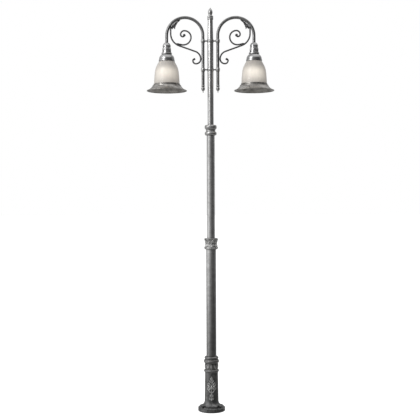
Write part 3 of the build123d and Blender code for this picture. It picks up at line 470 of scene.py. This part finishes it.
# spray of leaves and scrolls on the front and back of the foot's column
sprayLook = {
    "foot": 0.062, "halfWidth": 0.0285, "proud": 0.0058, "voxel": 0.0009,
    # down the middle: a leaf's root height, tip across, tip height, width and share of the depth
    "middleLeaves": ((0.134, 0.001, 0.163, 0.012, 1), (0.01, 0, 0.14, 0.006, 0.8)),
    # a bud's height and radius
    "middleBuds": ((0.093, 0.0062), (0.012, 0.0045)),
    # on each side, with what is across as a share of the half width, except at a leaf's root
    # leaf: root across and up, tip across and up, width
    # loop: across, up, radius, bar radius; bud: across, up, radius
    "sides": (
        ("leaf", 0.001, 0.128, 0.3, 0.151, 0.007),
        ("leaf", 0.001, 0.116, 0.55, 0.138, 0.009),
        ("leaf", 0.002, 0.1, 0.85, 0.126, 0.01),
        ("leaf", 0.003, 0.09, 0.98, 0.104, 0.009),
        ("leaf", 0.003, 0.088, 0.8, 0.066, 0.01),
        ("loop", 0.68, 0.11, 0.0062, 0.0023),
        ("loop", 0.72, 0.083, 0.0068, 0.0024),
        ("bud", 0.72, 0.083, 0.0024),
        ("leaf", 0.002, 0.055, 0.62, 0.072, 0.008),
        ("leaf", 0.001, 0.05, 0.4, 0.032, 0.009),
        ("loop", 0.3, 0.02, 0.0052, 0.0021),
        ("leaf", 0.001, 0.03, 0.42, 0.046, 0.007),
    ),
}


def layOnSide(row, side, look, depth):
    kind, *sizes = row
    if kind == "leaf":
        rootX, rootZ, tipShare, tipZ, width = sizes
        root = (side * rootX, look["foot"] + rootZ)
        tip = (side * tipShare * look["halfWidth"], look["foot"] + tipZ)
        return layBlade(root, tip, width, depth)
    share, up, *radii = sizes
    lay = layLoop if kind == "loop" else layBud
    return lay((side * share * look["halfWidth"], look["foot"] + up), *radii)


def makeSpray(look):
    foot = look["foot"]
    depth = look["proud"] * 2
    parts = [layBlade((0, foot + rootZ), (tipX, foot + tipZ), width, depth * share)
             for rootZ, tipX, tipZ, width, share in look["middleLeaves"]]
    parts += [layBud((0, foot + up), budR) for up, budR in look["middleBuds"]]
    for side in (-1, 1):
        parts += [layOnSide(row, side, look, depth) for row in look["sides"]]
    spray = joinAll(parts, "columnSpray")
    melt(spray, look["voxel"], 2)
    return spray


# the column tapers between the top of its flare and the collar
columnLook = {"flareTop": 0.065, "lowR": 0.0441, "taper": 0.003, "wrapR": 0.043}
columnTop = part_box("base_column")[1].z


def columnRadius(z):
    flareTop = columnLook["flareTop"]
    share = min(max((z - flareTop) / (columnTop - flareTop), 0.0), 1.0)
    return columnLook["lowR"] - columnLook["taper"] * share


print("column sprays")
frontSpray = makeSpray(sprayLook)
backSpray = copyOf(frontSpray, "columnSprayBack")
wrapRound(frontSpray, columnRadius, columnLook["wrapR"])
wrapRound(backSpray, columnRadius, columnLook["wrapR"], facing=math.pi)
for spray in (frontSpray, backSpray):
    finishPiece(spray, silver["ornament"], "post")


# slanted leaves round the band between the base collar's mouldings
neckLook = {
    "leaves": 12, "low": 0.0265, "high": 0.0615, "bandR": 0.0407, "width": 0.0105, "proud": 0.0068,
    "slant": 0.014,
}


def makeNeckBand(look):
    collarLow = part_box("base_collar")[0].z
    bandLow = collarLow + look["low"]
    bandHigh = collarLow + look["high"]
    leaves = []
    for index in range(look["leaves"]):
        facing = index * 2 * math.pi / look["leaves"]
        # upright at the front, and leaning one way on each side of it
        slant = 0 if index == 0 else look["slant"] * (-1 if index <= look["leaves"] / 2 else 1)
        leaf = layBlade((-slant / 2, bandLow), (slant / 2, bandHigh), look["width"], look["proud"])
        wrapRound(leaf, lambda z: look["bandR"], look["bandR"], facing=facing)
        leaves.append(leaf)
    return joinAll(leaves, "collarLeafBand")


print("base collar leaf band")
finishPiece(makeNeckBand(neckLook), silver["ornament"], "post")


# crossed leaves and scrolls round the waisted middle collar
crossLook = {
    "repeats": 5, "proud": 0.0052, "voxel": 0.0009, "rim": 0.042, "waist": 0.03525, "margin": 0.006,
    "budR": 0.0042, "thinner": 0.9,
    # across as a share of a motif's half width, up as a share of its half height, or in metres
    # where a name ends in Up
    "longTip": 0.62, "longWidth": 0.009,
    "shortRoot": 0.4, "shortRootUp": 0.004, "shortTip": (0.98, 0.62), "shortWidth": 0.007,
    "scroll": 0.72, "scrollUp": 0.0095, "scrollR": 0.005, "scrollBarR": 0.0019,
    "middleRoot": 0.35, "middleWidth": 0.0065,
}


def makeCrossedLeaves(look):
    low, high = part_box("mid_collar")
    middle = (low.z + high.z) / 2
    half = (high.z - low.z) / 2 - look["margin"]
    wide = math.pi * look["waist"] / look["repeats"]
    depth = look["proud"] * 2
    thin = depth * look["thinner"]
    tipAcross, tipUp = look["shortTip"]
    parts = [layBud((0, middle), look["budR"])]
    for up in (-1, 1):
        for side in (-1, 1):
            longTip = (side * look["longTip"] * wide, middle + up * half)
            shortRoot = (side * look["shortRoot"] * wide, middle + up * look["shortRootUp"])
            shortTip = (side * tipAcross * wide, middle + up * tipUp * half)
            scroll = (side * look["scroll"] * wide, middle + up * look["scrollUp"])
            parts += [
                layBlade((0, middle), longTip, look["longWidth"], depth),
                layBlade(shortRoot, shortTip, look["shortWidth"], thin),
                layLoop(scroll, look["scrollR"], look["scrollBarR"]),
            ]
        root = (0, middle + up * look["middleRoot"] * half)
        parts.append(layBlade(root, (0, middle + up * half), look["middleWidth"], thin))
    motif = joinAll(parts, "crossedLeaf")
    melt(motif, look["voxel"], 2)

    def waisted(z):
        share = min(abs(z - middle) / half, 1.0)
        return look["waist"] + (look["rim"] - look["waist"]) * share ** 2

    ring = []
    for index in range(look["repeats"]):
        twin = copyOf(motif, "crossedLeaf")
        wrapRound(twin, waisted, look["waist"], facing=index * 2 * math.pi / look["repeats"])
        ring.append(twin)
    bpy.data.objects.remove(motif)
    return joinAll(ring, "collarCrossedLeaves")


print("middle collar leaves")
finishPiece(makeCrossedLeaves(crossLook), silver["ornament"], "post")


# upright petals round the neck of each lamp's housing
petalLook = {
    "petals": 6, "low": 0.001, "high": 0.036, "width": 0.022, "proud": 0.0075,
    "neckR": 0.0276, "neckTaper": 0.0033, "neckHeight": 0.03, "wrapR": 0.026,
}


def makePetals(side, look):
    node = side + "_neck_housing"
    low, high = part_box(node)
    lampX = (low.x + high.x) / 2
    petals = []

    def neck(z):
        share = min(max((z - low.z) / look["neckHeight"], 0.0), 1.0)
        return look["neckR"] - look["neckTaper"] * share

    for index in range(look["petals"]):
        root = (0, low.z + look["high"])
        petal = layBlade(root, (0, low.z + look["low"]), look["width"], look["proud"])
        wrapRound(petal, neck, look["wrapR"], lampX, index * 2 * math.pi / look["petals"])
        petals.append(petal)
    return joinAll(petals, side + "HousingPetals")


# leaf that lies in under each hoop, over the top of the scroll bar
leafLook = {
    "voxel": 0.001, "thick": 0.0125,
    # each blade: root and tip, as a drop in from the hoop and degrees round it, width, thickness share
    "blades": (
        ((0.001, 74), (0.006, 52), 0.009, 0.8),
        ((0.004, 64), (0.01, 38), 0.015, 1),
        ((0.007, 52), (0.008, 24), 0.018, 1),
        ((0.005, 62), (0.0155, 55), 0.0075, 0.75),
        ((0.008, 56), (0.021, 48), 0.0085, 0.8),
        ((0.01, 49), (0.0265, 41), 0.0095, 0.85),
        ((0.012, 42), (0.0325, 32), 0.0105, 0.85),
        ((0.01, 35), (0.017, 26.5), 0.009, 0.8),
    ),
}


def makeHoopLeaf(side, look):
    sign = -1 if side == "left" else 1
    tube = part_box(side + "_arm_tube")
    lampX = abs(middleOf(side + "_glass_shade").x)
    uprightX = abs(middleOf(side + "_lower_ring").x)
    hoopX = (lampX + uprightX) / 2
    hoopR = (lampX - uprightX) / 2
    tubeR = (tube[1].y - tube[0].y) / 2
    hoopZ = tube[1].z - tubeR - hoopR
    inner = hoopR - tubeR

    def at(drop, degrees):
        turn = math.radians(degrees)
        reach = inner - drop
        return (sign * (hoopX + reach * math.cos(turn)), hoopZ + reach * math.sin(turn))

    blades = [layBlade(at(*root), at(*tip), width, look["thick"] * share)
              for root, tip, width, share in look["blades"]]
    leaf = joinAll(blades, side + "HoopLeaf")
    melt(leaf, look["voxel"], 1)
    return leaf


# forged taper that runs the start of each volute out along the scroll bar
taperLook = {
    # root on the volute and tip on the scroll bar: reach from the volute's centre, and degrees
    "root": (0.0709, -74), "tip": (0.0772, -52), "bar": 0.0098,
    # the centre, in from the scroll bar's outer end and up from the volute's foot
    "edge": 0.086, "below": 0.0759,
}


def makeVoluteTaper(side, look):
    sign = -1 if side == "left" else 1
    low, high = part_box(side + "_scroll_bar")
    centreX = max(abs(low.x), abs(high.x)) - look["edge"]
    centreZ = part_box(side + "_volute")[0].z + look["below"]

    def at(reach, degrees):
        turn = math.radians(degrees)
        return (sign * (centreX + reach * math.cos(turn)), centreZ + reach * math.sin(turn))

    taper = layBlade(at(*look["root"]), at(*look["tip"]), look["bar"], look["bar"])
    taper.name = side + "VoluteTaper"
    return taper


print("lamp petals, hoop leaves and volute tapers")
for side in ("left", "right"):
    finishPiece(makePetals(side, petalLook), silver["lamp casting"], "head")
    leaf = makeHoopLeaf(side, leafLook)
    finishPiece(leaf, silver["iron bar"], "head")
    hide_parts(side + "_scroll_leaf")
    finishPiece(makeVoluteTaper(side, taperLook), silver["iron bar"], "head")

bpy.data.objects.remove(blade)

# floor, light and camera
setLook = {
    "floor": 60.0, "floorGrey": 0.55, "floorGlow": 0.86,
    "lens": 74.24, "distance": 5.5, "eye": 1.35, "aim": 1.271, "aside": -0.0058, "lean": -0.2,
    "keyPower": 38, "keySize": 1.6, "keyPlace": (-2.4, -2.2, 3.4), "keyAim": (0, 0, 1.2),
    # brightness of the studio round the object, in degrees from the camera's side, minus to the left
    "round": ((-180, 0.45), (-125, 0.5), (-100, 0.95), (-58, 1.0), (-40, 0.5), (-18, 0.3), (2, 0.16),
              (25, 0.085), (70, 0.08), (95, 0.11), (118, 0.45), (145, 0.5), (180, 0.45)),
    # a large soft light overhead and a dim floor below, each with the heights it fades in over
    "overhead": (0.95, 0.95, 0.95, 1), "overheadSpan": (0.35, 0.8),
    "underfoot": (0.42, 0.42, 0.41, 1), "underfootSpan": (-0.75, -0.25),
}


def makeFloor(look):
    bpy.ops.object.select_all(action="DESELECT")
    bpy.ops.mesh.primitive_circle_add(vertices=96, radius=look["floor"], fill_type="NGON")
    floor = bpy.context.object
    floor.name = "paleFloor"
    finish, shader = newFinish("pale floor")
    shader.inputs["Base Color"].default_value = (*[look["floorGrey"]] * 3, 1)
    shader.inputs["Roughness"].default_value = 0.9
    shader.inputs["Specular IOR Level"].default_value = 0.0
    shader.inputs["Emission Color"].default_value = (1, 1, 1, 1)
    shader.inputs["Emission Strength"].default_value = look["floorGlow"]
    floor.data.materials.append(finish)
    floor.visible_glossy = False
    floor.visible_diffuse = False


def makeStudio(look):
    scene = bpy.context.scene
    scene.view_settings.view_transform = "Standard"
    world = bpy.data.worlds.new("studio")
    world.use_nodes = True
    scene.world = world
    world.node_tree.nodes.clear()
    output = addNode(world, "ShaderNodeOutputWorld")
    backdrop = addNode(world, "ShaderNodeBackground", {"Color": (1, 1, 1, 1), "Strength": 1.0})
    surround = addNode(world, "ShaderNodeBackground")
    seen = addNode(world, "ShaderNodeLightPath")
    pick = addNode(world, "ShaderNodeMixShader")
    place = addNode(world, "ShaderNodeTexCoord")
    split = addNode(world, "ShaderNodeSeparateXYZ")
    back = addNode(world, "ShaderNodeMath", operation="MULTIPLY")
    back.inputs[1].default_value = -1
    turn = addNode(world, "ShaderNodeMath", operation="ARCTAN2")
    ramp = addNode(world, "ShaderNodeValToRGB")
    wire(world, place, "Generated", split, "Vector")
    wire(world, split, "Y", back, 0)
    wire(world, split, "X", turn, 0)
    wire(world, back, "Value", turn, 1)
    share = remap(world, turn, "Value", -math.pi, math.pi, 0, 1)
    wire(world, share, "Result", ramp, "Fac")
    stops = ramp.color_ramp.elements
    while len(stops) < len(look["round"]):
        stops.new(0.5)
    for stop, (degrees, light) in zip(stops, look["round"]):
        stop.position = (degrees + 180) / 360
        stop.color = (light, light, light, 1)
    over = remap(world, split, "Z", *look["overheadSpan"], 0.0, 1.0)
    under = remap(world, split, "Z", *look["underfootSpan"], 1.0, 0.0)
    lifted = addNode(world, "ShaderNodeMix", data_type="RGBA")
    lifted.inputs[7].default_value = look["overhead"]
    lowered = addNode(world, "ShaderNodeMix", data_type="RGBA")
    lowered.inputs[7].default_value = look["underfoot"]
    wire(world, over, "Result", lifted, 0)
    wire(world, under, "Result", lowered, 0)
    world.node_tree.links.new(ramp.outputs["Color"], lifted.inputs[6])
    world.node_tree.links.new(lifted.outputs[2], lowered.inputs[6])
    world.node_tree.links.new(lowered.outputs[2], surround.inputs["Color"])
    wire(world, seen, "Is Camera Ray", pick, "Fac")
    world.node_tree.links.new(surround.outputs[0], pick.inputs[1])
    world.node_tree.links.new(backdrop.outputs[0], pick.inputs[2])
    wire(world, pick, "Shader", output, "Surface")

    key = bpy.data.lights.new("key", "AREA")
    key.energy = look["keyPower"]
    key.size = look["keySize"]
    lamp = bpy.data.objects.new("key", key)
    lamp.location = look["keyPlace"]
    lamp.rotation_euler = (Vector(look["keyAim"]) - lamp.location).to_track_quat("-Z", "Y").to_euler()
    bpy.context.collection.objects.link(lamp)


def makeCamera(look):
    view = bpy.data.cameras.new("camera")
    view.lens = look["lens"]
    camera = bpy.data.objects.new("camera", view)
    camera.location = (look["aside"], -look["distance"], look["eye"])
    view.shift_y = (look["aim"] - look["eye"]) * look["lens"] / (view.sensor_width * look["distance"])
    camera.rotation_mode = "QUATERNION"
    level = Vector((0, 1, 0)).to_track_quat("-Z", "Y")
    lean = Matrix.Rotation(math.radians(look["lean"]), 3, "Z").to_quaternion()
    camera.rotation_quaternion = level @ lean
    bpy.context.collection.objects.link(camera)
    bpy.context.scene.camera = camera


print("floor, light and camera")
makeFloor(setLook)
makeStudio(setLook)
makeCamera(setLook)

print("done")
